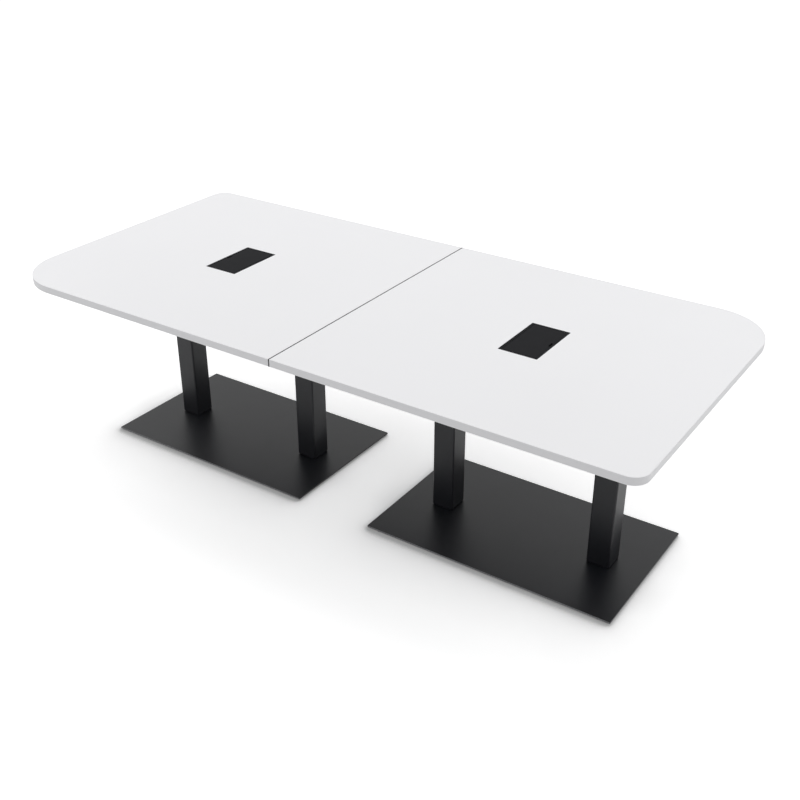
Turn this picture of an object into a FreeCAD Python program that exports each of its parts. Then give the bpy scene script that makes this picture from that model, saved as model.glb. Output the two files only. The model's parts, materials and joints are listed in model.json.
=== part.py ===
"""Two-piece conference table on twin-post bases, with a flip-lid power module in each half.

Millimetres. The origin is on the floor under the middle of the table, +X runs along its length
and +Z is up. The right half is built in place, and the left half is the same half turned by 180
degrees about the Z axis.
"""
import FreeCAD
import Part
import math
import os

from FreeCAD import Placement, Rotation, Vector

# Whole table
TABLE_LENGTH = 2438.4
TABLE_WIDTH = 1143.0
TABLE_HEIGHT = 736.6

# Top: core, laminates and edge band
TOP_THICKNESS = 25.4
LARGE_CORNER_RADIUS = 211.0
SMALL_CORNER_RADIUS = 50.8
LAMINATE_THICKNESS = 0.8
BACKER_THICKNESS = 0.8
BAND_THICKNESS = 2.0
BAND_EASE = 1.0
GLUE_LINE = 0.1

# Seam between the halves
SEAM_GAP = 4.0
GASKET_RECESS = 0.3
DOWEL_RADIUS = 5.0
DOWEL_LENGTH = 60.0
DOWEL_FIT = 0.1
DOWEL_END_ROOM = 1.0
TIE_LENGTH = 140.0
TIE_WIDTH = 40.0
TIE_THICKNESS = 3.0
TIE_CORNER_RADIUS = 4.0
TIE_SIDE_INSET = 171.5
TIE_SCREW_INSET = 14.0
TIE_SCREW_FROM_MIDDLE = 24.0

# Cross recess of every pan-head screw, as shares of its head's radius and height
CROSS_REACH = 0.6
CROSS_HALF_WIDTH = 0.12
CROSS_DEPTH = 0.6

# Wood screws up into the top
WOOD_SCREW_RADIUS = 2.4
WOOD_SCREW_COVER = 8.0
WOOD_SCREW_FIT = 0.1
WOOD_HEAD_RADIUS = 4.8
WOOD_HEAD_HEIGHT = 3.0
PLATE_HOLE_ROOM = 0.4

# Base plates
FLOOR_GAP = 4.5
BASE_THICKNESS = 6.35
BASE_END_INSET = 149.3
BASE_SIDE_INSET = 288.5
BASE_CORNER_RADIUS = 3.0
BASE_EASE = 0.5

# Posts, their foot blocks and mounting plates
POST_SIZE = 82.6
POST_WALL = 3.0
POST_CORNER_RADIUS = 6.0
POST_END_INSET = 156.9
POST_REVEAL = 4.0
FOOT_INSERT = 12.0
FOOT_FIT = 0.1
MOUNTING_OVERHANG = 50.0
MOUNTING_THICKNESS = 5.0
MOUNTING_CORNER_RADIUS = 10.0
MOUNTING_SCREW_INSET = 18.0

# Post bolts, countersunk from below
POST_BOLT_RADIUS = 4.0
POST_BOLT_HEAD_RADIUS = 7.9
POST_BOLT_INSET = 15.0
POST_BOLT_COVER = 2.0
POST_BOLT_FIT = 0.1
POST_BOLT_SOCKET_RADIUS = 2.9
POST_BOLT_SOCKET_DEPTH = 2.5

# Levelling glides
GLIDE_RADIUS = 12.5
GLIDE_EASE = 0.8
GLIDE_STUD_RADIUS = 4.0
GLIDE_END_INSET = 45.0
GLIDE_SIDE_INSET = 16.0
GLIDE_SEAT_GAP = 0.2
GLIDE_SKIN = 1.0
GLIDE_STUD_ROOM = 0.35
GLIDE_RUNNING_FIT = 0.08

# Power module: bezel, lid and hinge
MODULE_LENGTH = 231.0
MODULE_WIDTH = 137.0
BEZEL_RIM = 9.0
BEZEL_FLANGE = 3.0
BEZEL_CORNER_RADIUS = 2.0
REBATE_ROOM = 0.3
COLLAR_WALL = 2.5
COLLAR_DEPTH = 16.0
COLLAR_CORNER_RADIUS = 2.0
LID_THICKNESS = 5.0
LID_GAP = 0.6
LID_EASE = 0.4
NOTCH_LENGTH = 24.0
NOTCH_DEPTH = 6.0
NOTCH_RADIUS = 1.5
PIN_RADIUS = 1.0
PIN_REACH = 8.0
PIN_END_ROOM = 0.3
PIN_FIT = 0.02
PIN_RUNNING_FIT = 0.05
LEDGE_REACH = 8.0
LEDGE_THICKNESS = 2.5
LEDGE_NOTCH_ROOM = 15.0
LEDGE_END_ROOM = 14.0
BUMPER_RADIUS = 3.0
BUMPER_THICKNESS = 1.0
BUMPER_REST_GAP = 0.05

# Power module: tub, its screws and clamps
TUB_WALL = 1.5
TUB_FIT = 0.2
CUTOUT_ROOM = 0.8
TUB_SCREW_INSET = 20.0
TUB_SCREW_DEPTH = 11.5
MODULE_SCREW_RADIUS = 1.5
MODULE_SCREW_FIT = 0.1
MODULE_HEAD_RADIUS = 2.8
MODULE_HEAD_HEIGHT = 2.0
CLAMP_WIDTH = 30.0
CLAMP_HEIGHT = 28.0
CLAMP_REACH = 22.0
CLAMP_THICKNESS = 2.0
CLAMP_SCREW_DROP = 17.0

# Power module: socket panel, outlets and charger
PANEL_ANGLE = 45.0
PANEL_THICKNESS = 2.0
PANEL_FIT = 0.9
PANEL_TOP_ROOM = 3.0
PANEL_LIP = 14.0
PANEL_SCREW_INSET = 25.0
SOCKET_HEIGHT = 30.0
SOCKET_WIDTH = 28.0
SOCKET_DEPTH = 19.0
SOCKET_FLANGE = 3.0
SOCKET_FLANGE_THICKNESS = 1.5
SOCKET_FIT = 0.2
SOCKET_ROOM = 6.0
SOCKET_PITCH = 46.0
SOCKET_END_ROOM = 12.0
BLADE_SPACING = 12.7
BLADE_SLOT_WIDTH = 1.8
LIVE_SLOT_HEIGHT = 6.6
NEUTRAL_SLOT_HEIGHT = 8.2
GROUND_RADIUS = 2.6
GROUND_OFFSET = 11.9
CONTACT_DEPTH = 14.0
WIDE_PORT_HEIGHT = 5.2
WIDE_PORT_WIDTH = 12.6
NARROW_PORT_HEIGHT = 3.2
NARROW_PORT_WIDTH = 9.0
PORT_SPACING = 13.0
PORT_DEPTH = 12.0

# Power module: cord gland
GLAND_RADIUS = 8.0
GLAND_FIT = 0.1
GLAND_BORE_RADIUS = 4.2
GLAND_FLANGE_RADIUS = 11.0
GLAND_FLANGE_THICKNESS = 4.0
GLAND_CAP_RADIUS = 9.0
GLAND_CAP_LENGTH = 10.0
GLAND_THREAD = 8.0
GLAND_NUT_FLAT = 11.0
GLAND_NUT_THICKNESS = 4.0
GLAND_FROM_SIDE = 32.0
GLAND_RISE = 24.0

# Heights
TOP_Z = TABLE_HEIGHT
UNDERSIDE_Z = TABLE_HEIGHT - TOP_THICKNESS
CORE_TOP_Z = TOP_Z - LAMINATE_THICKNESS
CORE_BOTTOM_Z = UNDERSIDE_Z + BACKER_THICKNESS
BASE_TOP_Z = FLOOR_GAP + BASE_THICKNESS
POST_TOP_Z = UNDERSIDE_Z - MOUNTING_THICKNESS
FLANGE_Z = TOP_Z - BEZEL_FLANGE
COLLAR_Z = TOP_Z - COLLAR_DEPTH
HINGE_Z = TOP_Z - LID_THICKNESS / 2

# Plan of the right half
SEAM_X = SEAM_GAP / 2
END_X = TABLE_LENGTH / 2
SIDE_Y = TABLE_WIDTH / 2
HALF_X = (SEAM_X + END_X) / 2
BASE_LENGTH = END_X - SEAM_X - 2 * BASE_END_INSET
BASE_WIDTH = TABLE_WIDTH - 2 * BASE_SIDE_INSET
POST_OFFSET = BASE_LENGTH / 2 - POST_END_INSET
FOOT_SIZE = POST_SIZE - 2 * (POST_WALL + FOOT_FIT)
MOUNTING_SIZE = POST_SIZE + 2 * MOUNTING_OVERHANG
TIE_Y = SIDE_Y - TIE_SIDE_INSET
WOOD_SCREW_DEPTH = TOP_THICKNESS - WOOD_SCREW_COVER

# Plan of the power module, as half widths (X) and half lengths (Y) from its centre
OPENING = Vector(MODULE_WIDTH / 2 - BEZEL_RIM, MODULE_LENGTH / 2 - BEZEL_RIM, 0)
COLLAR = OPENING + Vector(COLLAR_WALL, COLLAR_WALL, 0)
TUB_INSIDE = COLLAR + Vector(TUB_FIT, TUB_FIT, 0)
TUB_OUTSIDE = TUB_INSIDE + Vector(TUB_WALL, TUB_WALL, 0)
CUTOUT = TUB_OUTSIDE + Vector(CUTOUT_ROOM, CUTOUT_ROOM, 0)
LID_FREE_X = HALF_X + OPENING.x - LID_GAP
LID_END_Y = OPENING.y - LID_GAP
HINGE_X = HALF_X - OPENING.x + LID_GAP + LID_THICKNESS / 2
LEDGE_Z = TOP_Z - LID_THICKNESS - BUMPER_THICKNESS - BUMPER_REST_GAP
LEDGE_START_Y = NOTCH_LENGTH / 2 + LEDGE_NOTCH_ROOM
LEDGE_STOP_Y = OPENING.y - LEDGE_END_ROOM

# Slope of the socket panel, long enough for the sockets to clear the tub's wall and floor
SLOPE = math.radians(PANEL_ANGLE)
SLOPE_ROOM_ABOVE = SOCKET_DEPTH * math.tan(SLOPE) + SOCKET_ROOM
SLOPE_ROOM_BELOW = SOCKET_DEPTH / math.tan(SLOPE) + SOCKET_ROOM
SLOPE_LENGTH = SLOPE_ROOM_ABOVE + SOCKET_HEIGHT + SLOPE_ROOM_BELOW
PANEL_TOP_Z = COLLAR_Z - PANEL_TOP_ROOM
FLOOR_Z = PANEL_TOP_Z - SLOPE_LENGTH * math.sin(SLOPE)
TUB_BOTTOM_Z = FLOOR_Z - TUB_WALL
PANEL_BACK_X = HALF_X - TUB_INSIDE.x + PANEL_FIT
PANEL_FOOT_X = PANEL_BACK_X + (PANEL_TOP_Z - FLOOR_Z - PANEL_THICKNESS) / math.tan(SLOPE)
PANEL_HALF_LENGTH = TUB_INSIDE.y - PANEL_FIT
LIP_SCREW_X = PANEL_FOOT_X + PANEL_LIP / 2
LIP_SCREW_Y = PANEL_HALF_LENGTH - PANEL_SCREW_INSET
GLAND_X = HALF_X + TUB_INSIDE.x - GLAND_FROM_SIDE
GLAND_Z = FLOOR_Z + GLAND_RISE

UP = Vector(0, 0, 1)
DOWN = Vector(0, 0, -1)
BACK = Vector(0, 1, 0)
SIGNS = (-1, 1)


def outline(x0, x1, y0, y1, z, radii):
    """A flat face with a radius at each corner, in the order (x1, y0), (x1, y1), (x0, y1), (x0, y0)."""
    corners = ((x1, y0, -1, 1), (x1, y1, -1, -1), (x0, y1, 1, -1), (x0, y0, 1, 1))
    runs = []
    for turn, ((x, y, in_x, in_y), radius) in enumerate(zip(corners, radii)):
        centre = Vector(x + in_x * radius, y + in_y * radius, z)
        angles = [math.radians(90 * turn - 90 + step) for step in (0, 45, 90)]
        runs.append([centre + Vector(radius * math.cos(a), radius * math.sin(a), 0) for a in angles])
    edges = []
    for run, following, radius in zip(runs, runs[1:] + runs[:1], radii):
        if radius > 0:
            edges.append(Part.Arc(*run).toShape())
        edges.append(Part.makeLine(run[-1], following[0]))
    return Part.Face(Part.Wire(edges))


def prism(x0, x1, y0, y1, z0, z1, radii=(0, 0, 0, 0)):
    return outline(x0, x1, y0, y1, z0, radii).extrude(Vector(0, 0, z1 - z0))


def block(x, y, half_x, half_y, z0, z1, radius=0):
    """An upright block round (x, y), with all four upright edges rounded alike."""
    return prism(x - half_x, x + half_x, y - half_y, y + half_y, z0, z1, (radius,) * 4)


def rod(radius, start, direction, length):
    return Part.makeCylinder(radius, length, start, direction)


def joined(first, *others):
    """One solid from pieces that meet, without seams between their faces."""
    return first.fuse(list(others)).removeSplitter()


def eased(solid, radius, wanted):
    """The solid with a small round on each edge for which wanted(edge) holds."""
    return solid.makeFillet(radius, [edge for edge in solid.Edges if wanted(edge)])


def level_at(edge, z):
    box = edge.BoundBox
    return abs(box.ZMin - z) < 1e-6 and abs(box.ZMax - z) < 1e-6


def placed(shape, position, direction=UP):
    """A copy of a shape made at the origin along +Z, moved and turned to its place."""
    copy = shape.copy()
    copy.Placement = Placement(position, Rotation(UP, direction))
    return copy


def turned(shape):
    """A copy of a right-half shape in the left half's place."""
    copy = shape.copy()
    copy.rotate(Vector(0, 0, 0), UP, 180)
    return copy


def pan_screw(radius, length, head_radius, head_height):
    """A pan-head screw: shank up from the origin, head below it with a cross recess."""
    head = rod(head_radius, Vector(0, 0, -head_height), UP, head_height)
    long, short = head_radius * CROSS_REACH, head_radius * CROSS_HALF_WIDTH
    recess_z = head_height * (CROSS_DEPTH - 1)
    arms = ((long, short), (short, long))
    cross = [block(0, 0, half_x, half_y, -head_height, recess_z) for half_x, half_y in arms]
    return joined(head.cut(cross), rod(radius, Vector(0, 0, 0), UP, length))


def countersunk_bolt(radius, length, head_radius, socket_radius, socket_depth):
    """A countersunk bolt: flat head face at the origin, shank up, with a hexagon socket."""
    head = Part.makeCone(head_radius, radius, head_radius - radius)
    points = [Vector(socket_radius, 0, 0)]
    for corner in range(6):
        points.append(Rotation(UP, 60 * (corner + 1)).multVec(points[0]))
    socket = Part.Face(Part.makePolygon(points)).extrude(Vector(0, 0, socket_depth))
    return joined(head, rod(radius, Vector(0, 0, 0), UP, length)).cut(socket)


def half_outline(inset, z0, z1):
    """The right half's plan, drawn in by an inset on all sides, as a slab between two heights."""
    radii = (SMALL_CORNER_RADIUS - inset, LARGE_CORNER_RADIUS - inset, 0, 0)
    return prism(SEAM_X + inset, END_X - inset, inset - SIDE_Y, SIDE_Y - inset, z0, z1, radii)


def tie_places():
    """Y of each tie plate."""
    return (-TIE_Y, 0, TIE_Y)


def dowel_places():
    """Y of each dowel: between the tie plates and out towards the sides."""
    outer = (TIE_Y + SIDE_Y) / 2
    return (-outer, -TIE_Y / 2, TIE_Y / 2, outer)


def tie_screw_places():
    """Plan positions of the tie screws in the right half."""
    across = (TIE_SCREW_FROM_MIDDLE, TIE_LENGTH / 2 - TIE_SCREW_INSET)
    return [(x, y) for x in across for y in tie_places()]


def post_places():
    """Plan X of the inner and the outer post of the right half."""
    return {"inner": HALF_X - POST_OFFSET, "outer": HALF_X + POST_OFFSET}


def mounting_screw_places():
    """Plan positions of the mounting plate screws in the right half."""
    reach = MOUNTING_SIZE / 2 - MOUNTING_SCREW_INSET
    return [(x + i * reach, j * reach) for x in post_places().values() for i in SIGNS for j in SIGNS]


def post_bolt_places():
    """Plan positions of the post bolts in the right half."""
    reach = FOOT_SIZE / 2 - POST_BOLT_INSET
    return [(x + i * reach, j * reach) for x in post_places().values() for i in SIGNS for j in SIGNS]


def glide_places():
    """Plan positions of the glides in the right half, by name."""
    x = BASE_LENGTH / 2 - GLIDE_END_INSET
    y = BASE_WIDTH / 2 - GLIDE_SIDE_INSET
    ends = {"inner": HALF_X - x, "outer": HALF_X + x}
    sides = {"front": -y, "back": y}
    return {(end, side): (ends[end], sides[side]) for end in ends for side in sides}


def module_cutout():
    """What the power module takes out of the top: a through hole and a shallow rebate for the flange."""
    hole = block(HALF_X, 0, CUTOUT.x, CUTOUT.y, UNDERSIDE_Z, TOP_Z, 2 * CUTOUT_ROOM)
    half_x, half_y = MODULE_WIDTH / 2 + REBATE_ROOM, MODULE_LENGTH / 2 + REBATE_ROOM
    rebate = block(HALF_X, 0, half_x, half_y, FLANGE_Z, TOP_Z, BEZEL_CORNER_RADIUS + REBATE_ROOM)
    return joined(hole, rebate)


def top_holes():
    """Screw pilots and dowel holes in the right half."""
    pilot_radius = WOOD_SCREW_RADIUS + WOOD_SCREW_FIT
    pilot_depth = WOOD_SCREW_DEPTH + WOOD_SCREW_FIT
    plan = tie_screw_places() + mounting_screw_places()
    holes = [rod(pilot_radius, Vector(x, y, UNDERSIDE_Z), UP, pilot_depth) for x, y in plan]
    depth = DOWEL_LENGTH / 2 + DOWEL_END_ROOM
    middle_z = (CORE_TOP_Z + CORE_BOTTOM_Z) / 2
    for y in dowel_places():
        holes.append(rod(DOWEL_RADIUS + DOWEL_FIT, Vector(0, y, middle_z), Vector(1, 0, 0), depth))
    return holes


def top_half():
    removed = [module_cutout()] + top_holes()
    body = half_outline(0, UNDERSIDE_Z, TOP_Z)
    ease = min(BAND_EASE, 0.9 * BAND_THICKNESS)

    def outer_edge(edge):
        at_seam = abs(edge.BoundBox.XMax - SEAM_X) < 1e-6
        return level_at(edge, TOP_Z) or level_at(edge, UNDERSIDE_Z) or at_seam

    band = eased(body, ease, outer_edge).cut(half_outline(BAND_THICKNESS, UNDERSIDE_Z, TOP_Z))
    inset = BAND_THICKNESS + GLUE_LINE
    return {
        "panel_core": half_outline(inset, CORE_BOTTOM_Z, CORE_TOP_Z).cut(removed),
        "top_laminate": half_outline(inset, CORE_TOP_Z, TOP_Z).cut(removed),
        "bottom_backer": half_outline(inset, UNDERSIDE_Z, CORE_BOTTOM_Z).cut(removed),
        "edge_band": band.cut(removed),
    }


def seam():
    """The pieces that line up, close and hold the joint between the halves."""
    middle_z = (CORE_TOP_Z + CORE_BOTTOM_Z) / 2
    end_y = SIDE_Y - GASKET_RECESS
    gasket = prism(-SEAM_X, SEAM_X, -end_y, end_y, UNDERSIDE_Z, TOP_Z - GASKET_RECESS)
    along = Vector(1, 0, 0)
    starts = [Vector(-DOWEL_LENGTH / 2, y, middle_z) for y in dowel_places()]
    holes = [rod(DOWEL_RADIUS + DOWEL_FIT, start, along, DOWEL_LENGTH) for start in starts]
    dowels = [rod(DOWEL_RADIUS, start, along, DOWEL_LENGTH) for start in starts]
    plate_z = UNDERSIDE_Z - TIE_THICKNESS
    hole_radius = WOOD_SCREW_RADIUS + PLATE_HOLE_ROOM
    screw = pan_screw(
        WOOD_SCREW_RADIUS, TIE_THICKNESS + WOOD_SCREW_DEPTH, WOOD_HEAD_RADIUS, WOOD_HEAD_HEIGHT
    )
    seats = [Vector(side * x, y, plate_z) for x, y in tie_screw_places() for side in SIGNS]
    drilled = [rod(hole_radius, seat, UP, TIE_THICKNESS) for seat in seats]
    plates = [
        block(0, y, TIE_LENGTH / 2, TIE_WIDTH / 2, plate_z, UNDERSIDE_Z, TIE_CORNER_RADIUS).cut(drilled)
        for y in tie_places()
    ]
    return {
        "seam_gasket": gasket.cut(holes),
        "seam_dowels": Part.makeCompound(dowels),
        "tie_plates": Part.makeCompound(plates),
        "tie_plate_screws": Part.makeCompound([placed(screw, seat) for seat in seats]),
    }


def base_plate():
    plate = block(
        HALF_X, 0, BASE_LENGTH / 2, BASE_WIDTH / 2, FLOOR_GAP, BASE_TOP_Z, BASE_CORNER_RADIUS
    )
    plate = eased(plate, BASE_EASE, lambda edge: level_at(edge, BASE_TOP_Z) or level_at(edge, FLOOR_GAP))
    head_radius = POST_BOLT_HEAD_RADIUS + PLATE_HOLE_ROOM
    hole_radius = POST_BOLT_RADIUS + PLATE_HOLE_ROOM
    countersink = Part.makeCone(head_radius, hole_radius, head_radius - hole_radius)
    bolt_hole = joined(countersink, rod(hole_radius, Vector(0, 0, 0), UP, BASE_THICKNESS))
    holes = [placed(bolt_hole, Vector(x, y, FLOOR_GAP)) for x, y in post_bolt_places()]
    stud_radius = GLIDE_STUD_RADIUS + GLIDE_RUNNING_FIT
    for x, y in glide_places().values():
        holes.append(rod(stud_radius, Vector(x, y, FLOOR_GAP), UP, BASE_THICKNESS - GLIDE_SKIN))
    return plate.cut(holes)


def post_tube(x):
    half = POST_SIZE / 2
    bottom_z = BASE_TOP_Z + POST_REVEAL
    inner_radius = POST_CORNER_RADIUS - POST_WALL
    outside = block(x, 0, half, half, bottom_z, POST_TOP_Z, POST_CORNER_RADIUS)
    return outside.cut(block(x, 0, half - POST_WALL, half - POST_WALL, bottom_z, POST_TOP_Z, inner_radius))


def post_foot(x):
    """The block welded into the tube's lower end, standing below it by the reveal."""
    half = FOOT_SIZE / 2
    radius = POST_CORNER_RADIUS - POST_WALL - FOOT_FIT
    top_z = BASE_TOP_Z + POST_REVEAL + FOOT_INSERT
    tapped_radius = POST_BOLT_RADIUS + POST_BOLT_FIT
    depth = POST_REVEAL + FOOT_INSERT - POST_BOLT_COVER + POST_BOLT_FIT
    holes = [rod(tapped_radius, Vector(i, j, BASE_TOP_Z), UP, depth) for i, j in post_bolt_places()]
    return block(x, 0, half, half, BASE_TOP_Z, top_z, radius).cut(holes)


def mounting_plate(x):
    half = MOUNTING_SIZE / 2
    hole_radius = WOOD_SCREW_RADIUS + PLATE_HOLE_ROOM
    holes = [
        rod(hole_radius, Vector(i, j, POST_TOP_Z), UP, MOUNTING_THICKNESS)
        for i, j in mounting_screw_places()
    ]
    return block(x, 0, half, half, POST_TOP_Z, UNDERSIDE_Z, MOUNTING_CORNER_RADIUS).cut(holes)


def post_bolts():
    length = BASE_THICKNESS + POST_REVEAL + FOOT_INSERT - POST_BOLT_COVER
    bolt = countersunk_bolt(
        POST_BOLT_RADIUS, length, POST_BOLT_HEAD_RADIUS, POST_BOLT_SOCKET_RADIUS, POST_BOLT_SOCKET_DEPTH
    )
    return [placed(bolt, Vector(x, y, FLOOR_GAP)) for x, y in post_bolt_places()]


def mounting_screws():
    length = MOUNTING_THICKNESS + WOOD_SCREW_DEPTH
    screw = pan_screw(WOOD_SCREW_RADIUS, length, WOOD_HEAD_RADIUS, WOOD_HEAD_HEIGHT)
    return [placed(screw, Vector(x, y, POST_TOP_Z)) for x, y in mounting_screw_places()]


def glide(x, y):
    """A levelling glide, screwed fully in: a pad on the floor and a stud in the plate's blind hole."""
    pad_top = FLOOR_GAP - GLIDE_SEAT_GAP
    pad = rod(GLIDE_RADIUS, Vector(x, y, 0), UP, pad_top)
    pad = eased(pad, GLIDE_EASE, lambda edge: level_at(edge, 0))
    stud_length = GLIDE_SEAT_GAP + BASE_THICKNESS - GLIDE_SKIN - GLIDE_STUD_ROOM
    return joined(pad, rod(GLIDE_STUD_RADIUS, Vector(x, y, pad_top), UP, stud_length))


def tub_screw_places():
    """Seats of the tub screws on the collar's end walls, each with its outward direction."""
    reach = OPENING.x - TUB_SCREW_INSET
    z = TOP_Z - TUB_SCREW_DEPTH
    return [(Vector(HALF_X + i * reach, j * OPENING.y, z), BACK * j) for i in SIGNS for j in SIGNS]


def tub_screw_holes():
    length = COLLAR_WALL + TUB_FIT + TUB_WALL
    radius = MODULE_SCREW_RADIUS + MODULE_SCREW_FIT
    return [rod(radius, seat, outward, length) for seat, outward in tub_screw_places()]


def hinge_pin_rods(radius, reach):
    """Rods on the hinge axis at both ends of the opening, going in past its end walls by a reach."""
    length = COLLAR_WALL + reach
    starts = [(Vector(HINGE_X, j * COLLAR.y, HINGE_Z), BACK * -j) for j in SIGNS]
    return [rod(radius, start, inward, length) for start, inward in starts]


def bezel():
    """Flange flush with the work surface, collar down into the cutout and ledges that carry the lid."""
    flange = block(
        HALF_X, 0, MODULE_WIDTH / 2, MODULE_LENGTH / 2, FLANGE_Z, TOP_Z, BEZEL_CORNER_RADIUS
    )
    collar = block(HALF_X, 0, COLLAR.x, COLLAR.y, COLLAR_Z, FLANGE_Z, COLLAR_CORNER_RADIUS)
    frame = joined(flange, collar).cut(block(HALF_X, 0, OPENING.x, OPENING.y, COLLAR_Z, TOP_Z))
    ledges = []
    for j in SIGNS:
        y0, y1 = sorted((j * LEDGE_START_Y, j * LEDGE_STOP_Y))
        x0, x1 = HALF_X + OPENING.x - LEDGE_REACH, HALF_X + OPENING.x + COLLAR_WALL / 2
        ledges.append(prism(x0, x1, y0, y1, LEDGE_Z - LEDGE_THICKNESS, LEDGE_Z))
    return joined(frame, *ledges).cut(hinge_pin_rods(PIN_RADIUS + PIN_FIT, 0) + tub_screw_holes())


def lid():
    """A flat lid with a half-round hinge edge on the pin axis and a finger notch in its free edge."""
    radius = LID_THICKNESS / 2
    bottom_z = TOP_Z - LID_THICKNESS
    corners = [(HINGE_X, bottom_z), (LID_FREE_X, bottom_z), (LID_FREE_X, TOP_Z), (HINGE_X, TOP_Z)]
    points = [Vector(x, -LID_END_Y, z) for x, z in corners]
    edges = [Part.makeLine(start, stop) for start, stop in zip(points, points[1:])]
    edges.append(Part.Arc(points[-1], Vector(HINGE_X - radius, -LID_END_Y, HINGE_Z), points[0]).toShape())
    plate = Part.Face(Part.Wire(edges)).extrude(Vector(0, 2 * LID_END_Y, 0))

    def free_top_edge(edge):
        return level_at(edge, TOP_Z) and edge.BoundBox.XMax > LID_FREE_X - 1e-6

    plate = eased(plate, LID_EASE, free_top_edge)
    half = NOTCH_LENGTH / 2
    radii = (0, 0, NOTCH_RADIUS, NOTCH_RADIUS)
    notch = prism(LID_FREE_X - NOTCH_DEPTH, LID_FREE_X + LID_GAP, -half, half, bottom_z, TOP_Z, radii)
    pin_reach = LID_GAP + PIN_REACH + PIN_END_ROOM
    return plate.cut([notch] + hinge_pin_rods(PIN_RADIUS + PIN_RUNNING_FIT, pin_reach))


def lid_bumpers():
    x = HALF_X + OPENING.x - LEDGE_REACH / 2
    y = (LEDGE_START_Y + LEDGE_STOP_Y) / 2
    seats = [Vector(x, j * y, TOP_Z - LID_THICKNESS) for j in SIGNS]
    return Part.makeCompound([rod(BUMPER_RADIUS, seat, DOWN, BUMPER_THICKNESS) for seat in seats])


def clamp_screw_places():
    """Seats of the clamp screws on the brackets, each with its direction into the tub's wall."""
    z = UNDERSIDE_Z - CLAMP_SCREW_DROP
    reach = TUB_OUTSIDE.x + CLAMP_THICKNESS
    return [(Vector(HALF_X + i * reach, 0, z), Vector(-i, 0, 0)) for i in SIGNS]


def clamp_screw_holes():
    radius = MODULE_SCREW_RADIUS + MODULE_SCREW_FIT
    length = CLAMP_THICKNESS + TUB_WALL
    return [rod(radius, seat, inward, length) for seat, inward in clamp_screw_places()]


def lip_screw_seats():
    """Seats of the panel screws on the panel's lip."""
    return [Vector(LIP_SCREW_X, j * LIP_SCREW_Y, FLOOR_Z + PANEL_THICKNESS) for j in SIGNS]


def lip_screw_holes():
    radius = MODULE_SCREW_RADIUS + MODULE_SCREW_FIT
    length = PANEL_THICKNESS + TUB_WALL
    return [rod(radius, seat, DOWN, length) for seat in lip_screw_seats()]


def tub():
    """A box welded from a floor sheet and four wall sheets: it wraps the collar and hangs below the top."""
    half_wall = TUB_WALL / 2
    sheets = [block(HALF_X, 0, TUB_OUTSIDE.x, TUB_OUTSIDE.y, TUB_BOTTOM_Z, FLOOR_Z)]
    for side in SIGNS:
        x = HALF_X + side * (TUB_INSIDE.x + half_wall)
        y = side * (TUB_INSIDE.y + half_wall)
        sheets.append(block(x, 0, half_wall, TUB_INSIDE.y, FLOOR_Z, FLANGE_Z))
        sheets.append(block(HALF_X, y, TUB_OUTSIDE.x, half_wall, FLOOR_Z, FLANGE_Z))
    gland_hole = rod(GLAND_RADIUS + GLAND_FIT, Vector(GLAND_X, TUB_INSIDE.y, GLAND_Z), BACK, TUB_WALL)
    drilled = [gland_hole] + tub_screw_holes() + clamp_screw_holes() + lip_screw_holes()
    return Part.makeCompound([sheet.cut(drilled) for sheet in sheets])


def clamp_brackets():
    """Angle brackets on the tub's long walls that pull up against the underside of the top."""
    brackets = []
    for i in SIGNS:
        wall_x = HALF_X + i * TUB_OUTSIDE.x
        leg = sorted((wall_x, wall_x + i * CLAMP_THICKNESS))
        foot = sorted((wall_x, wall_x + i * CLAMP_REACH))
        across = (-CLAMP_WIDTH / 2, CLAMP_WIDTH / 2)
        upright = prism(*leg, *across, UNDERSIDE_Z - CLAMP_HEIGHT, UNDERSIDE_Z)
        arm = prism(*foot, *across, UNDERSIDE_Z - CLAMP_THICKNESS, UNDERSIDE_Z)
        brackets.append(joined(upright, arm).cut(clamp_screw_holes()))
    return brackets


def on_slope(shape):
    """A shape made flat (front up, foot of the slope along +X) put on the middle of the socket row."""
    along = SLOPE_ROOM_ABOVE + SOCKET_HEIGHT / 2
    position = Vector(
        PANEL_BACK_X + along * math.cos(SLOPE), 0, PANEL_TOP_Z - along * math.sin(SLOPE)
    )
    copy = shape.copy()
    copy.Placement = Placement(position, Rotation(BACK, PANEL_ANGLE))
    return copy


def socket_places():
    """Y of each place on the panel; the last one takes the charger and the others an outlet."""
    count = int((2 * PANEL_HALF_LENGTH - 2 * SOCKET_END_ROOM) // SOCKET_PITCH)
    return [(number - (count - 1) / 2) * SOCKET_PITCH for number in range(count)]


def socket_panel():
    """A bent plate: a slope that faces up and to the lid's free edge, and a lip on the tub's floor."""
    back_drop = PANEL_THICKNESS / math.cos(SLOPE)
    back_foot_x = PANEL_BACK_X + (PANEL_TOP_Z - back_drop - FLOOR_Z) / math.tan(SLOPE)
    profile = (
        (PANEL_BACK_X, PANEL_TOP_Z),
        (PANEL_FOOT_X, FLOOR_Z + PANEL_THICKNESS),
        (PANEL_FOOT_X + PANEL_LIP, FLOOR_Z + PANEL_THICKNESS),
        (PANEL_FOOT_X + PANEL_LIP, FLOOR_Z),
        (back_foot_x, FLOOR_Z),
        (PANEL_BACK_X, PANEL_TOP_Z - back_drop),
    )
    points = [Vector(x, -PANEL_HALF_LENGTH, z) for x, z in profile]
    plate = Part.Face(Part.makePolygon(points + points[:1])).extrude(Vector(0, 2 * PANEL_HALF_LENGTH, 0))
    half_x, half_y = SOCKET_HEIGHT / 2 + SOCKET_FIT, SOCKET_WIDTH / 2 + SOCKET_FIT
    windows = [
        on_slope(block(0, y, half_x, half_y, -2 * PANEL_THICKNESS, PANEL_THICKNESS))
        for y in socket_places()
    ]
    return plate.cut(windows + lip_screw_holes())


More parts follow.
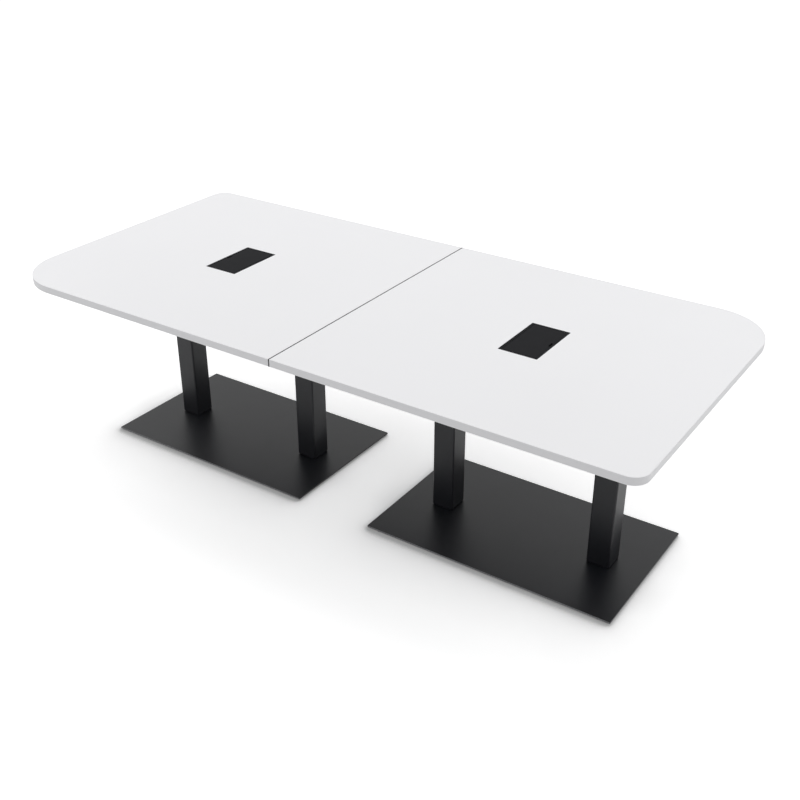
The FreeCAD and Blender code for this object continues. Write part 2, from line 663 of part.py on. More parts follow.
def socket_body(y):
    """A snap-in socket body through the panel, with a flange on the panel's front."""
    half_x, half_y = SOCKET_HEIGHT / 2, SOCKET_WIDTH / 2
    flange = block(0, y, half_x + SOCKET_FLANGE, half_y + SOCKET_FLANGE, 0, SOCKET_FLANGE_THICKNESS)
    return joined(flange, block(0, y, half_x, half_y, -SOCKET_DEPTH, 0))


def outlet(y):
    """A grounded outlet: two upright blade slots with the round ground hole below them."""
    face_z = SOCKET_FLANGE_THICKNESS
    floor_z = face_z - CONTACT_DEPTH
    blade_x = -GROUND_OFFSET / 2
    slots = [rod(GROUND_RADIUS, Vector(GROUND_OFFSET / 2, y, floor_z), UP, CONTACT_DEPTH)]
    for side, height in zip(SIGNS, (NEUTRAL_SLOT_HEIGHT, LIVE_SLOT_HEIGHT)):
        blade_y = y + side * BLADE_SPACING / 2
        slots.append(block(blade_x, blade_y, height / 2, BLADE_SLOT_WIDTH / 2, floor_z, face_z))
    return on_slope(socket_body(y).cut(slots))


def usb_charger(y):
    """A charger in the same body as an outlet, with one wide and one narrow port."""
    face_z = SOCKET_FLANGE_THICKNESS
    sizes = ((WIDE_PORT_HEIGHT, WIDE_PORT_WIDTH), (NARROW_PORT_HEIGHT, NARROW_PORT_WIDTH))
    ports = []
    for side, (height, width) in zip(SIGNS, sizes):
        x = side * PORT_SPACING / 2
        ports.append(block(x, y, height / 2, width / 2, face_z - PORT_DEPTH, face_z))
    return on_slope(socket_body(y).cut(ports))


def cord_gland():
    """A gland through the tub's end wall, with a bore for the supply cord."""
    inside = Vector(GLAND_X, TUB_INSIDE.y - GLAND_THREAD, GLAND_Z)
    outside = Vector(GLAND_X, TUB_OUTSIDE.y, GLAND_Z)
    thread = rod(GLAND_RADIUS, inside, BACK, GLAND_THREAD + TUB_WALL)
    flange = rod(GLAND_FLANGE_RADIUS, outside, BACK, GLAND_FLANGE_THICKNESS)
    cap_length = GLAND_FLANGE_THICKNESS + GLAND_CAP_LENGTH
    cap = rod(GLAND_CAP_RADIUS, outside, BACK, cap_length)
    bore = rod(GLAND_BORE_RADIUS, inside, BACK, GLAND_THREAD + TUB_WALL + cap_length)
    return joined(thread, flange, cap).cut(bore)


def gland_nut():
    """A hexagon nut on the gland's thread, against the inside of the tub's wall."""
    corner = Vector(GLAND_NUT_FLAT / math.cos(math.radians(30)), 0, 0)
    points = [Rotation(UP, 60 * turn).multVec(corner) for turn in range(7)]
    nut = Part.Face(Part.makePolygon(points)).extrude(Vector(0, 0, GLAND_NUT_THICKNESS))
    nut = nut.cut(rod(GLAND_RADIUS + GLAND_FIT, Vector(0, 0, 0), UP, GLAND_NUT_THICKNESS))
    return placed(nut, Vector(GLAND_X, TUB_INSIDE.y, GLAND_Z), -BACK)


def module_screws(length, places):
    screw = pan_screw(MODULE_SCREW_RADIUS, length, MODULE_HEAD_RADIUS, MODULE_HEAD_HEIGHT)
    return [placed(screw, seat, direction) for seat, direction in places]


def paired_pieces():
    """Right-half pieces that each half has as a node of its own."""
    pieces = top_half()
    pieces["base_plate"] = base_plate()
    for end, x in post_places().items():
        pieces[f"{end}_post"] = post_tube(x)
        pieces[f"{end}_post_foot"] = post_foot(x)
        pieces[f"{end}_mounting_plate"] = mounting_plate(x)
    places = socket_places()
    pieces["power_bezel"] = bezel()
    pieces["power_lid"] = lid()
    pieces["lid_bumpers"] = lid_bumpers()
    pieces["power_tub"] = tub()
    pieces["socket_panel"] = socket_panel()
    pieces["power_outlets"] = Part.makeCompound([outlet(y) for y in places[:-1]])
    pieces["usb_charger"] = usb_charger(places[-1])
    return pieces


def grouped_pieces():
    """Right-half pieces that share one node with their likes in the left half."""
    tub_length = COLLAR_WALL + TUB_FIT + TUB_WALL
    lip_places = [(seat, DOWN) for seat in lip_screw_seats()]
    return {
        "post_bolts": post_bolts(),
        "mounting_plate_screws": mounting_screws(),
        "lid_hinge_pins": hinge_pin_rods(PIN_RADIUS, LID_GAP + PIN_REACH),
        "tub_screws": module_screws(tub_length, tub_screw_places()),
        "clamp_brackets": clamp_brackets(),
        "clamp_screws": module_screws(CLAMP_THICKNESS + TUB_WALL, clamp_screw_places()),
        "socket_panel_screws": module_screws(PANEL_THICKNESS + TUB_WALL, lip_places),
        "cord_glands": [cord_gland()],
        "cord_gland_nuts": [gland_nut()],
    }


def glides():
    """The glides of both halves; turning a half over swaps its front and back."""
    other = {"front": "back", "back": "front"}
    pieces = {}
    for (end, side), (x, y) in glide_places().items():
        pieces[f"right_{end}_{side}_glide"] = glide(x, y)
        pieces[f"left_{end}_{other[side]}_glide"] = turned(glide(x, y))
    return pieces


def table():
    pieces = seam()
    for name, shape in paired_pieces().items():
        pieces[f"right_{name}"] = shape
        pieces[f"left_{name}"] = turned(shape)
    for name, shapes in grouped_pieces().items():
        pieces[name] = Part.makeCompound(shapes + [turned(shape) for shape in shapes])
    pieces.update(glides())
    return pieces


os.makedirs("parts", exist_ok=True)
for node, shape in table().items():
    print(node, len(shape.Solids), "solids", round(shape.Volume), "mm3", "valid", shape.isValid())
    shape.exportStep(f"parts/{node}.step")
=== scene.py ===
"""Conference table in two halves on black twin-post bases, dressed for its studio picture."""
import json
import math

import bpy
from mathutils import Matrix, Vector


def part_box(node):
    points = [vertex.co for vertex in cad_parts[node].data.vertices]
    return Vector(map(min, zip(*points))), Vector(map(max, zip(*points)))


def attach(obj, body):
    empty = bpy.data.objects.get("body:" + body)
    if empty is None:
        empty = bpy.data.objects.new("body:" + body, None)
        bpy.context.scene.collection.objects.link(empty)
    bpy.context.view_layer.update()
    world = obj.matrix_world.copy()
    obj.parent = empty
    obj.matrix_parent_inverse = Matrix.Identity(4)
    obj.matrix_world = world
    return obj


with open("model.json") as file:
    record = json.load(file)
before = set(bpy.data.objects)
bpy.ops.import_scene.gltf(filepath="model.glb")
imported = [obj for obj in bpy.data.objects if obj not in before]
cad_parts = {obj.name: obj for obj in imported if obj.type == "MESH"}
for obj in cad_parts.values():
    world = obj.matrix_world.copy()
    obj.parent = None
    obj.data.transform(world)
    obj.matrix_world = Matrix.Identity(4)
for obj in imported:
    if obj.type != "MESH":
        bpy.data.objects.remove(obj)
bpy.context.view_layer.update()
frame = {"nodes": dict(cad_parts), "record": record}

nodes = frame["nodes"]
slot_of = {part["node"]: part["material_slot"] for part in frame["record"]["subparts"]}

# Sockets: those of a colour mix go by number, because its other kinds use the same names
MIX_A, MIX_B, MIX_RESULT = 6, 7, 2
BUMP_SOCKETS = ("Strength", "Distance")
RANGE_SOCKETS = ("From Min", "From Max")

# The picture: where the camera stood and how far it was zoomed in
PICTURE_PIXELS = 800
FOCAL_PIXELS = 1096.63
SENSOR_MM = 36.0
CAMERA_PLACE = (2.00574, -2.82243, 2.23829)
CAMERA_AZIMUTH = 34.052
CAMERA_ELEVATION = 28.806

# The studio: floor, sky and soft panels
FLOOR_SIZE = 40.0
WHITE = (1.0, 1.0, 1.0, 1.0)
FLOOR_BOUNCE = (0.52, 0.52, 0.525, 1.0)
FLOOR_LIFT = 0.37
CONTACT_REACH = 0.24
CONTACT_POWER = 2.2
CONTACT_LEAN = (0.15, 0.85, 0.5)
CONTACT_LEAST = 0.42
CONTACT_SAMPLES = 16
SKY_STRENGTH = 0.71
TABLE_MIDDLE = (0.0, 0.0, 0.7)
OVERHEAD_SIZE = (4.0, 3.0)
OVERHEAD_PLACE = (-0.2, 1.2, 4.2)
OVERHEAD_WATTS = 31.0
FRONT_SIZE = (3.0, 2.0)
FRONT_PLACE = (-2.6, -3.6, 2.4)
FRONT_WATTS = 10.0
BACK_SIZE = (2.0, 1.6)
BACK_PLACE = (-0.2, 5.2, 3.7)
BACK_WATTS = 4.0
END_SIZE = (1.5, 1.5)
END_PLACE = (3.2, 0.4, 3.0)
END_WATTS = 13.0

# Finishes with broad patches and a fine grain: their two tones, the scales of patches and grain per
# metre, how much the grain counts, the range of roughness, and the relief's strength and depth
MOTTLED = {
    "white_laminate": {
        "tones": ((0.84, 0.84, 0.855), (0.805, 0.805, 0.82)),
        "scales": (2.2, 1400.0),
        "grain": 0.45,
        "roughness": (0.34, 0.46),
        "relief": (0.12, 0.0002),
    },
    "white_edge_band": {
        "tones": ((0.84, 0.84, 0.855), (0.8, 0.8, 0.815)),
        "scales": (5.0, 1100.0),
        "grain": 0.4,
        "roughness": (0.38, 0.5),
        "relief": (0.1, 0.0002),
    },
    "backer_sheet": {
        "tones": ((0.78, 0.78, 0.79), (0.72, 0.72, 0.73)),
        "scales": (9.0, 700.0),
        "grain": 0.5,
        "roughness": (0.5, 0.65),
        "relief": (0.2, 0.0003),
    },
    "gasket_rubber": {
        "tones": ((0.012, 0.012, 0.013), (0.007, 0.007, 0.008)),
        "scales": (30.0, 900.0),
        "grain": 0.5,
        "roughness": (0.6, 0.8),
        "relief": (0.25, 0.0003),
    },
    "bumper_rubber": {
        "tones": ((0.07, 0.07, 0.072), (0.045, 0.045, 0.047)),
        "scales": (60.0, 1200.0),
        "grain": 0.5,
        "roughness": (0.55, 0.75),
        "relief": (0.2, 0.0002),
    },
    "black_powder_coat": {
        "tones": ((0.0055, 0.0062, 0.0085), (0.0035, 0.004, 0.006)),
        "scales": (14.0, 750.0),
        "grain": 0.6,
        "roughness": (0.33, 0.43),
        "relief": (0.14, 0.0003),
        "surface": {"Specular IOR Level": 0.38},
    },
    "black_plastic": {
        "tones": ((0.0105, 0.0107, 0.0125), (0.0066, 0.0068, 0.0081)),
        "scales": (18.0, 1800.0),
        "grain": 0.6,
        "roughness": (0.54, 0.68),
        "relief": (0.3, 0.0002),
        "surface": {"Specular IOR Level": 0.06},
    },
    "socket_plastic": {
        "tones": ((0.04, 0.04, 0.042), (0.03, 0.03, 0.032)),
        "scales": (25.0, 2200.0),
        "grain": 0.4,
        "roughness": (0.24, 0.34),
        "relief": (0.08, 0.0001),
    },
    "glide_nylon": {
        "tones": ((0.05, 0.05, 0.051), (0.03, 0.03, 0.031)),
        "scales": (40.0, 1500.0),
        "grain": 0.5,
        "roughness": (0.5, 0.66),
        "relief": (0.2, 0.0002),
    },
    "black_oxide_steel": {
        "tones": ((0.07, 0.07, 0.075), (0.035, 0.035, 0.04)),
        "scales": (70.0, 2500.0),
        "grain": 0.5,
        "roughness": (0.32, 0.5),
        "relief": (0.15, 0.0001),
        "surface": {"Metallic": 1.0},
    },
    "zinc_steel": {
        "tones": ((0.66, 0.67, 0.69), (0.5, 0.51, 0.54)),
        "scales": (110.0, 1600.0),
        "grain": 0.35,
        "roughness": (0.24, 0.42),
        "relief": (0.12, 0.0001),
        "surface": {"Metallic": 1.0},
    },
}

# Level lines round the edge band: lines and runs per metre, and the strength and depth of the ridges
STREAK_LINES = 700.0
STREAK_RUN = 2.0
STREAK_RELIEF = (0.12, 0.0003)

# Painted highlight on the long rims of the base plates, in pale streaks: strokes per metre each way, the
# noise between bare and full strokes, the least share of highlight, and how squarely a face has to look
# front or back
RIM_HIGHLIGHT_NODES = ("right_base_plate", "left_base_plate")
RIM_HIGHLIGHT_TONE = (0.2, 0.203, 0.21, 1.0)
RIM_HIGHLIGHT_STRETCH = (25.0, 25.0, 1200.0)
RIM_HIGHLIGHT_STROKES = (0.38, 0.6)
RIM_HIGHLIGHT_LEAST = 0.5
RIM_HIGHLIGHT_FACING = (0.6, 0.95)

# Small pieces that the frame leaves plain, in metres; the socket row is the right half's, with its
# places along Y, and the other sizes are measured on a row laid flat
SLOPE_TILT = 45.0
SOCKET_ROW = (0.577584, 0.0, 0.689316)
OUTLET_PLACES = (-0.069, -0.023, 0.023)
CHARGER_PLACE = 0.069
FACE_HEIGHT = 0.0015
BLADE_ACROSS = 0.00635
BLADE_ALONG = -0.00595
BLADE_SLOT = 0.0018
LEAF = (0.0056, 0.0003, 0.009)
LEAF_DROP = 0.0035
SLEEVE_RADIUS = 0.00245
SLEEVE_SIDES = 32
SMOOTH_DEGREES = 40.0
TONGUE_PLACES = (-0.0065, 0.0065)
TONGUES = ((0.0019, 0.0104, 0.0095), (0.0008, 0.0066, 0.0095))
TONGUE_DROP = 0.0016
TONGUE_EASE = 1 / 6
PAD = (0.00012, 0.001, 0.0055)
PAD_PITCH = 0.0024
WELD_SIZE = 0.005
WELD_EASE = 0.0016
EASE_STEPS = 2


# Node trees

def add_node(tree, kind, sockets=None, **settings):
    """A node with its settings, and plain values on some of its input sockets."""
    made = tree.nodes.new(kind)
    for name, value in settings.items():
        setattr(made, name, value)
    for name, value in (sockets or {}).items():
        made.inputs[name].default_value = value
    return made


def new_group(name, inputs, outputs):
    """An empty shader node group, and its two end nodes."""
    group = bpy.data.node_groups.new(name, "ShaderNodeTree")
    for socket, kind in inputs:
        group.interface.new_socket(socket, in_out="INPUT", socket_type=kind)
    for socket, kind in outputs:
        group.interface.new_socket(socket, in_out="OUTPUT", socket_type=kind)
    return group, group.nodes.new("NodeGroupInput"), group.nodes.new("NodeGroupOutput")


def mottle_group():
    """Colour, roughness and height that wander over a surface, in broad patches and a fine grain."""
    number, colour = "NodeSocketFloat", "NodeSocketColor"
    inputs = [("Light", colour), ("Dark", colour)]
    inputs += [(name, number) for name in ("Patch Scale", "Grain Scale", "Grain", "Smooth", "Rough")]
    outputs = [("Color", colour), ("Roughness", number), ("Height", number)]
    tree, entry, leave = new_group("mottle", inputs, outputs)
    place = add_node(tree, "ShaderNodeTexCoord")
    patches = add_node(tree, "ShaderNodeTexNoise", {"Detail": 4.0, "Roughness": 0.55})
    grain = add_node(tree, "ShaderNodeTexNoise", {"Detail": 2.0, "Roughness": 0.6})
    blend = add_node(tree, "ShaderNodeMix", data_type="FLOAT")
    tint = add_node(tree, "ShaderNodeMix", data_type="RGBA")
    gloss = add_node(tree, "ShaderNodeMapRange")
    link = tree.links.new
    for texture, scale in ((patches, "Patch Scale"), (grain, "Grain Scale")):
        link(place.outputs["Object"], texture.inputs["Vector"])
        link(entry.outputs[scale], texture.inputs["Scale"])
    link(entry.outputs["Grain"], blend.inputs["Factor"])
    link(patches.outputs["Fac"], blend.inputs["A"])
    link(grain.outputs["Fac"], blend.inputs["B"])
    link(blend.outputs["Result"], tint.inputs["Factor"])
    link(entry.outputs["Light"], tint.inputs[MIX_A])
    link(entry.outputs["Dark"], tint.inputs[MIX_B])
    link(blend.outputs["Result"], gloss.inputs["Value"])
    link(entry.outputs["Smooth"], gloss.inputs["To Min"])
    link(entry.outputs["Rough"], gloss.inputs["To Max"])
    link(tint.outputs[MIX_RESULT], leave.inputs["Color"])
    link(gloss.outputs["Result"], leave.inputs["Roughness"])
    link(grain.outputs["Fac"], leave.inputs["Height"])
    return tree


def streak_group():
    """Fine level lines round a piece, as an extruded strip has them."""
    number = "NodeSocketFloat"
    tree, entry, leave = new_group("streaks", [("Lines", number), ("Run", number)], [("Height", number)])
    place = add_node(tree, "ShaderNodeTexCoord")
    spread = add_node(tree, "ShaderNodeCombineXYZ")
    stretch = add_node(tree, "ShaderNodeVectorMath", operation="MULTIPLY")
    lines = add_node(tree, "ShaderNodeTexNoise", {"Scale": 1.0, "Detail": 3.0})
    link = tree.links.new
    for axis, socket in (("X", "Run"), ("Y", "Run"), ("Z", "Lines")):
        link(entry.outputs[socket], spread.inputs[axis])
    link(place.outputs["Object"], stretch.inputs[0])
    link(spread.outputs["Vector"], stretch.inputs[1])
    link(stretch.outputs["Vector"], lines.inputs["Vector"])
    link(lines.outputs["Fac"], leave.inputs["Height"])
    return tree


# Finishes

def new_finish(name):
    material = bpy.data.materials.new(name)
    material.use_nodes = True
    return material, material.node_tree, material.node_tree.nodes["Principled BSDF"]


def mottled(name, group, tones, scales, grain, roughness, relief, surface=None):
    """A finish whose colour and gloss wander, with its grain as a relief."""
    material, tree, shader = new_finish(name)
    values = {
        "Light": (*tones[0], 1.0),
        "Dark": (*tones[1], 1.0),
        "Patch Scale": scales[0],
        "Grain Scale": scales[1],
        "Grain": grain,
        "Smooth": roughness[0],
        "Rough": roughness[1],
    }
    mottle = add_node(tree, "ShaderNodeGroup", node_tree=group, name="mottle")
    for socket, value in values.items():
        mottle.inputs[socket].default_value = value
    bump = add_node(tree, "ShaderNodeBump", dict(zip(BUMP_SOCKETS, relief)), name="relief")
    for socket, value in (surface or {}).items():
        shader.inputs[socket].default_value = value
    link = tree.links.new
    link(mottle.outputs["Color"], shader.inputs["Base Color"])
    link(mottle.outputs["Roughness"], shader.inputs["Roughness"])
    link(mottle.outputs["Height"], bump.inputs["Height"])
    link(bump.outputs["Normal"], shader.inputs["Normal"])
    return material


def add_streaks(material):
    """Level lines under a mottled finish's own relief."""
    tree = material.node_tree
    streaks = add_node(tree, "ShaderNodeGroup", node_tree=streak_group())
    streaks.inputs["Lines"].default_value = STREAK_LINES
    streaks.inputs["Run"].default_value = STREAK_RUN
    ridges = add_node(tree, "ShaderNodeBump", dict(zip(BUMP_SOCKETS, STREAK_RELIEF)))
    tree.links.new(streaks.outputs["Height"], ridges.inputs["Height"])
    tree.links.new(ridges.outputs["Normal"], tree.nodes["relief"].inputs["Normal"])


def add_painted_rim_highlight(material):
    """Painted highlight on the upright front and back rims of a base plate: pale streaks mixed into its
    colour.
    """
    tree = material.node_tree
    surface = add_node(tree, "ShaderNodeNewGeometry")
    facing = add_node(tree, "ShaderNodeSeparateXYZ")
    upright = add_node(tree, "ShaderNodeMath", operation="ABSOLUTE")
    rim = add_node(tree, "ShaderNodeMapRange", dict(zip(RANGE_SOCKETS, RIM_HIGHLIGHT_FACING)))
    place = add_node(tree, "ShaderNodeTexCoord")
    stretch = add_node(tree, "ShaderNodeMapping", {"Scale": RIM_HIGHLIGHT_STRETCH})
    highlight_noise = add_node(tree, "ShaderNodeTexNoise", {"Scale": 1.0, "Detail": 5.0})
    strokes = add_node(tree, "ShaderNodeMapRange", dict(zip(RANGE_SOCKETS, RIM_HIGHLIGHT_STROKES)))
    strokes.inputs["To Min"].default_value = RIM_HIGHLIGHT_LEAST
    share = add_node(tree, "ShaderNodeMath", operation="MULTIPLY")
    # painted highlight: a pale grey mixed into the coat's colour where a face looks front or back
    blend = add_node(tree, "ShaderNodeMix", {MIX_B: RIM_HIGHLIGHT_TONE}, data_type="RGBA")
    link = tree.links.new
    link(surface.outputs["True Normal"], facing.inputs["Vector"])
    link(facing.outputs["Y"], upright.inputs[0])
    link(upright.outputs["Value"], rim.inputs["Value"])
    link(place.outputs["Object"], stretch.inputs["Vector"])
    link(stretch.outputs["Vector"], highlight_noise.inputs["Vector"])
    link(highlight_noise.outputs["Fac"], strokes.inputs["Value"])
    link(rim.outputs["Result"], share.inputs[0])
    link(strokes.outputs["Result"], share.inputs[1])
    link(share.outputs["Value"], blend.inputs["Factor"])
    link(tree.nodes["mottle"].outputs["Color"], blend.inputs[MIX_A])
    link(blend.outputs[MIX_RESULT], tree.nodes["Principled BSDF"].inputs["Base Color"])


def toned(name, texture, value, height, dark, light, relief, roughness):
    """A finish that takes its tone from one output of a texture and its relief from another."""
    material, tree, shader = new_finish(name)
    place = add_node(tree, "ShaderNodeTexCoord")
    stretch = add_node(tree, "ShaderNodeMapping", {"Scale": texture["stretch"]})
    pattern = add_node(tree, texture["node"], texture["sockets"])
    tones = add_node(tree, "ShaderNodeValToRGB")
    tones.color_ramp.elements[0].color = (*dark, 1.0)
    tones.color_ramp.elements[1].color = (*light, 1.0)
    bump = add_node(tree, "ShaderNodeBump", dict(zip(BUMP_SOCKETS, relief)))
    shader.inputs["Roughness"].default_value = roughness
    link = tree.links.new
    link(place.outputs["Object"], stretch.inputs["Vector"])
    link(stretch.outputs["Vector"], pattern.inputs["Vector"])
    link(pattern.outputs[value], tones.inputs["Fac"])
    link(tones.outputs["Color"], shader.inputs["Base Color"])
    link(pattern.outputs[height], bump.inputs["Height"])
    link(bump.outputs["Normal"], shader.inputs["Normal"])
    return material


def dowel_beech():
    """Pale beech, with flecks along the dowel."""
    flecks = {
        "node": "ShaderNodeTexNoise",
        "sockets": {"Scale": 1.0, "Detail": 5.0},
        "stretch": (12.0, 400.0, 400.0),
    }
    dark, light = (0.5, 0.32, 0.17), (0.68, 0.48, 0.29)
    return toned("dowel_beech", flecks, "Fac", "Fac", dark, light, (0.3, 0.0003), 0.62)


def particleboard():
    """Pressed wood chips of a few millimetres, each its own tone."""
    chips = {
        "node": "ShaderNodeTexVoronoi",
        "sockets": {"Scale": 320.0},
        "stretch": (1.0, 1.0, 1.0),
    }
    dark, light = (0.3, 0.19, 0.1), (0.62, 0.45, 0.28)
    return toned("particleboard", chips, "Color", "Distance", dark, light, (0.5, 0.0006), 0.85)


def all_finishes():
    """Every finish, by the name of its slot, and the base plates' coat with a painted highlight on its
    rims.
    """
    group = mottle_group()
    made = {name: mottled(name, group, **values) for name, values in MOTTLED.items()}
    add_streaks(made["white_edge_band"])
    # the base plates' coat, with a painted highlight on its front and back rims
    made["coat_with_painted_highlight"] = mottled("coat_with_painted_highlight", group, **MOTTLED["black_powder_coat"])
    add_painted_rim_highlight(made["coat_with_painted_highlight"])
    made["dowel_beech"] = dowel_beech()
    made["particleboard"] = particleboard()
    return made


def dress_nodes():
    """Each piece of the frame takes the finish of its own slot; the base plates take the coat with the
    painted rim highlight.
    """
    for name, piece in nodes.items():
        finish = "coat_with_painted_highlight" if name in RIM_HIGHLIGHT_NODES else slot_of[name]
        piece.data.materials.clear()
        piece.data.materials.append(finishes[finish])


# Small pieces

def only(piece):
    bpy.ops.object.select_all(action="DESELECT")
    piece.select_set(True)
    bpy.context.view_layer.objects.active = piece


def settled(piece):
    """The piece with its place, turn and size put into its mesh."""
    only(piece)
    bpy.ops.object.transform_apply(location=True, rotation=True, scale=True)
    return piece


def slab(size, middle):
    """A block of a size round a middle point."""
    bpy.ops.object.select_all(action="DESELECT")
    bpy.ops.mesh.primitive_cube_add(size=1.0)
    piece = bpy.context.object
    piece.scale = size
    piece.location = middle
    return settled(piece)


def eased(piece, width):
    """The piece with small rounds on all its edges."""
    only(piece)
    bpy.ops.object.mode_set(mode="EDIT")
    bpy.ops.mesh.select_all(action="SELECT")
    bpy.ops.mesh.bevel(offset=width, segments=EASE_STEPS, affect="EDGES")
    bpy.ops.object.mode_set(mode="OBJECT")
    return piece


def joined(pieces):
    """One piece from several."""
    only(pieces[0])
    for piece in pieces:
        piece.select_set(True)
    bpy.ops.object.join()
    return pieces[0]


def on_slope(piece):
    """A piece made flat, front up, put on the right half's sloping socket panel."""
    piece.rotation_euler = (0.0, math.radians(SLOPE_TILT), 0.0)
    piece.location = SOCKET_ROW
    return settled(piece)


def both_halves(piece, name, slot):
    """Names and dresses a right-half piece, and its copy in the left half, turned half round."""
    twin = piece.copy()
    twin.data = piece.data.copy()
    bpy.context.scene.collection.objects.link(twin)
    twin.rotation_euler = (0.0, 0.0, math.pi)
    for side, made in (("right", piece), ("left", settled(twin))):
        made.name = f"{side}_{name}"
        made.data.materials.clear()
        made.data.materials.append(finishes[slot])
        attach(made, "table")


def ground_sleeve(middle):
    """An open round sleeve in an outlet's ground hole."""
    bpy.ops.object.select_all(action="DESELECT")
    bpy.ops.mesh.primitive_cylinder_add(
        vertices=SLEEVE_SIDES, radius=SLEEVE_RADIUS, depth=LEAF[2], end_fill_type="NOTHING"
    )
    sleeve = bpy.context.object
    wall = sleeve.modifiers.new("wall", "SOLIDIFY")
    wall.thickness = LEAF[1]
    bpy.ops.object.modifier_apply(modifier="wall")
    bpy.ops.object.shade_smooth_by_angle(angle=math.radians(SMOOTH_DEGREES))
    sleeve.location = middle
    return settled(sleeve)


def outlet_contacts():
    """Two spring leaves in each blade slot and a sleeve in each ground hole."""
    pieces = []
    z = FACE_HEIGHT - LEAF_DROP - LEAF[2] / 2
    for y in OUTLET_PLACES:
        pieces.append(ground_sleeve((-BLADE_ALONG, y, z)))
        for blade in (-1, 1):
            for wall in (-1, 1):
                leaf_y = y + blade * BLADE_ACROSS + wall * (BLADE_SLOT - LEAF[1]) / 2
                pieces.append(slab(LEAF, (BLADE_ALONG, leaf_y, z)))
    both_halves(on_slope(joined(pieces)), "outlet_contacts", "zinc_steel")


def port_tongues():
    """The tongue in each charging port, and the contact pads on it."""
    tongues, pads = [], []
    for x, size in zip(TONGUE_PLACES, TONGUES):
        z = FACE_HEIGHT - TONGUE_DROP - size[2] / 2
        tongues.append(eased(slab(size, (x, CHARGER_PLACE, z)), size[0] * TONGUE_EASE))
        pad_x = x + (size[0] + PAD[0]) / 2
        pad_z = z + (size[2] - PAD[2]) / 2 - PAD[1]
        for step in (-1, 0, 1):
            pads.append(slab(PAD, (pad_x, CHARGER_PLACE + step * PAD_PITCH, pad_z)))
    both_halves(on_slope(joined(tongues)), "port_tongues", "socket_plastic")
    both_halves(on_slope(joined(pads)), "port_contacts", "zinc_steel")


def weld_bead(post):
    """A sloping weld round the head of a post, against its mounting plate."""
    low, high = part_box(post)
    middle = [(start + stop) / 2 for start, stop in zip(low, high)]
    width = high[0] - low[0]
    spread = width + 2 * WELD_SIZE
    half_z = high[2] - WELD_SIZE / 2
    bead = slab((spread, spread, WELD_SIZE), (middle[0], middle[1], half_z))
    for corner in bead.data.vertices:
        corner.select = corner.co.z < half_z
    bpy.ops.object.mode_set(mode="EDIT")
    bpy.ops.transform.resize(value=(width / spread, width / spread, 1.0), center_override=middle)
    bpy.ops.object.mode_set(mode="OBJECT")
    return eased(bead, WELD_EASE)


def post_welds():
    beads = [weld_bead("right_inner_post"), weld_bead("right_outer_post")]
    both_halves(joined(beads), "post_welds", "black_powder_coat")


# Studio

def floor_paint():
    """White to the camera and in reflections, duller for the light it throws back, and to the camera
    shaded in front of what stands on it, as by light from behind."""
    material = bpy.data.materials.new("studio_white")
    material.use_nodes = True
    tree = material.node_tree
    tree.nodes.clear()
    sight = add_node(tree, "ShaderNodeLightPath")
    seen = add_node(tree, "ShaderNodeMath", operation="MAXIMUM")
    tone = add_node(tree, "ShaderNodeMix", {MIX_A: FLOOR_BOUNCE, MIX_B: WHITE}, data_type="RGBA")
    lift = add_node(tree, "ShaderNodeMath", {1: FLOOR_LIFT}, operation="MULTIPLY")
    nearby = add_node(tree, "ShaderNodeAmbientOcclusion", {"Distance": CONTACT_REACH})
    nearby.samples = CONTACT_SAMPLES
    lean = add_node(tree, "ShaderNodeCombineXYZ", dict(zip("XYZ", CONTACT_LEAN)))
    contact = add_node(tree, "ShaderNodeMath", {1: CONTACT_POWER}, operation="POWER")
    kept = add_node(tree, "ShaderNodeMath", {1: CONTACT_LEAST}, operation="MAXIMUM")
    shade = add_node(tree, "ShaderNodeMix", {"A": 1.0}, data_type="FLOAT")
    shaded_tone = add_node(tree, "ShaderNodeVectorMath", operation="SCALE")
    shaded_lift = add_node(tree, "ShaderNodeMath", operation="MULTIPLY")
    paint = add_node(tree, "ShaderNodeBsdfDiffuse")
    glow = add_node(tree, "ShaderNodeEmission", {"Color": WHITE})
    both = add_node(tree, "ShaderNodeAddShader")
    leave = add_node(tree, "ShaderNodeOutputMaterial")
    link = tree.links.new
    link(sight.outputs["Is Camera Ray"], seen.inputs[0])
    link(sight.outputs["Is Glossy Ray"], seen.inputs[1])
    link(seen.outputs["Value"], tone.inputs["Factor"])
    link(seen.outputs["Value"], lift.inputs[0])
    link(lean.outputs["Vector"], nearby.inputs["Normal"])
    link(nearby.outputs["AO"], contact.inputs[0])
    link(sight.outputs["Is Camera Ray"], shade.inputs["Factor"])
    link(contact.outputs["Value"], kept.inputs[0])
    link(kept.outputs["Value"], shade.inputs["B"])
    link(tone.outputs[MIX_RESULT], shaded_tone.inputs[0])
    link(shade.outputs["Result"], shaded_tone.inputs["Scale"])
    link(lift.outputs["Value"], shaded_lift.inputs[0])
    link(shade.outputs["Result"], shaded_lift.inputs[1])
    link(shaded_tone.outputs["Vector"], paint.inputs["Color"])
    link(shaded_lift.outputs["Value"], glow.inputs["Strength"])
    link(paint.outputs["BSDF"], both.inputs[0])
    link(glow.outputs["Emission"], both.inputs[1])
    link(both.outputs["Shader"], leave.inputs["Surface"])
    return material


def floor():
    """A wide floor that keeps the table's shadow."""
    bpy.ops.object.select_all(action="DESELECT")
    bpy.ops.mesh.primitive_plane_add(size=FLOOR_SIZE)
    ground = bpy.context.object
    ground.name = "studio_floor"
    ground.data.materials.append(floor_paint())


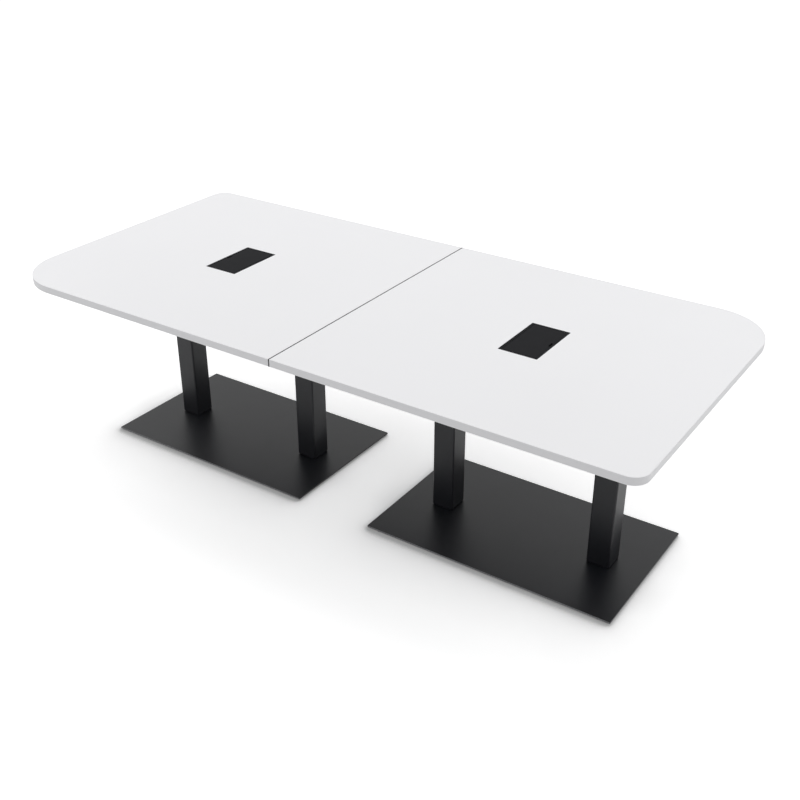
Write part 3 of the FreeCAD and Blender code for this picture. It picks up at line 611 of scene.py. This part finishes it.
def sky():
    """Even white light, seen as plain white by the camera and in reflections."""
    world = bpy.data.worlds.new("studio_sky")
    bpy.context.scene.world = world
    world.use_nodes = True
    tree = world.node_tree
    sight = add_node(tree, "ShaderNodeLightPath")
    seen = add_node(tree, "ShaderNodeMath", operation="MAXIMUM")
    seen_through = add_node(tree, "ShaderNodeMath", operation="MAXIMUM")
    strength = add_node(tree, "ShaderNodeMapRange", {"To Min": SKY_STRENGTH, "To Max": 1.0})
    backdrop = tree.nodes["Background"]
    backdrop.inputs["Color"].default_value = WHITE
    link = tree.links.new
    link(sight.outputs["Is Camera Ray"], seen.inputs[0])
    link(sight.outputs["Is Glossy Ray"], seen.inputs[1])
    link(seen.outputs["Value"], seen_through.inputs[0])
    link(sight.outputs["Is Transmission Ray"], seen_through.inputs[1])
    link(seen_through.outputs["Value"], strength.inputs["Value"])
    link(strength.outputs["Result"], backdrop.inputs["Strength"])


def soft_panel(name, size, place, watts):
    """A soft light panel that faces the middle of the table."""
    lamp = bpy.data.lights.new(name, "AREA")
    lamp.shape = "RECTANGLE"
    lamp.size, lamp.size_y = size
    lamp.energy = watts
    holder = bpy.data.objects.new(name, lamp)
    bpy.context.scene.collection.objects.link(holder)
    holder.location = place
    x, y, z = (goal - start for goal, start in zip(TABLE_MIDDLE, place))
    holder.rotation_euler = (math.atan2(math.hypot(x, y), -z), 0.0, math.atan2(-x, y))


def camera():
    lens = bpy.data.cameras.new("picture_camera")
    lens.sensor_width = SENSOR_MM
    lens.lens = FOCAL_PIXELS / PICTURE_PIXELS * SENSOR_MM
    lens.clip_end = 2 * FLOOR_SIZE
    holder = bpy.data.objects.new("picture_camera", lens)
    bpy.context.scene.collection.objects.link(holder)
    holder.location = CAMERA_PLACE
    holder.rotation_euler = (math.radians(90.0 - CAMERA_ELEVATION), 0.0, math.radians(CAMERA_AZIMUTH))
    bpy.context.scene.camera = holder


def studio():
    floor()
    sky()
    soft_panel("overhead_panel", OVERHEAD_SIZE, OVERHEAD_PLACE, OVERHEAD_WATTS)
    soft_panel("front_panel", FRONT_SIZE, FRONT_PLACE, FRONT_WATTS)
    soft_panel("back_panel", BACK_SIZE, BACK_PLACE, BACK_WATTS)
    out, along, up = END_PLACE
    soft_panel("right_end_panel", END_SIZE, (out, along, up), END_WATTS)
    soft_panel("left_end_panel", END_SIZE, (-out, along, up), END_WATTS)
    camera()
    bpy.context.scene.view_settings.view_transform = "Standard"


finishes = all_finishes()
dress_nodes()
outlet_contacts()
port_tongues()
post_welds()
studio()
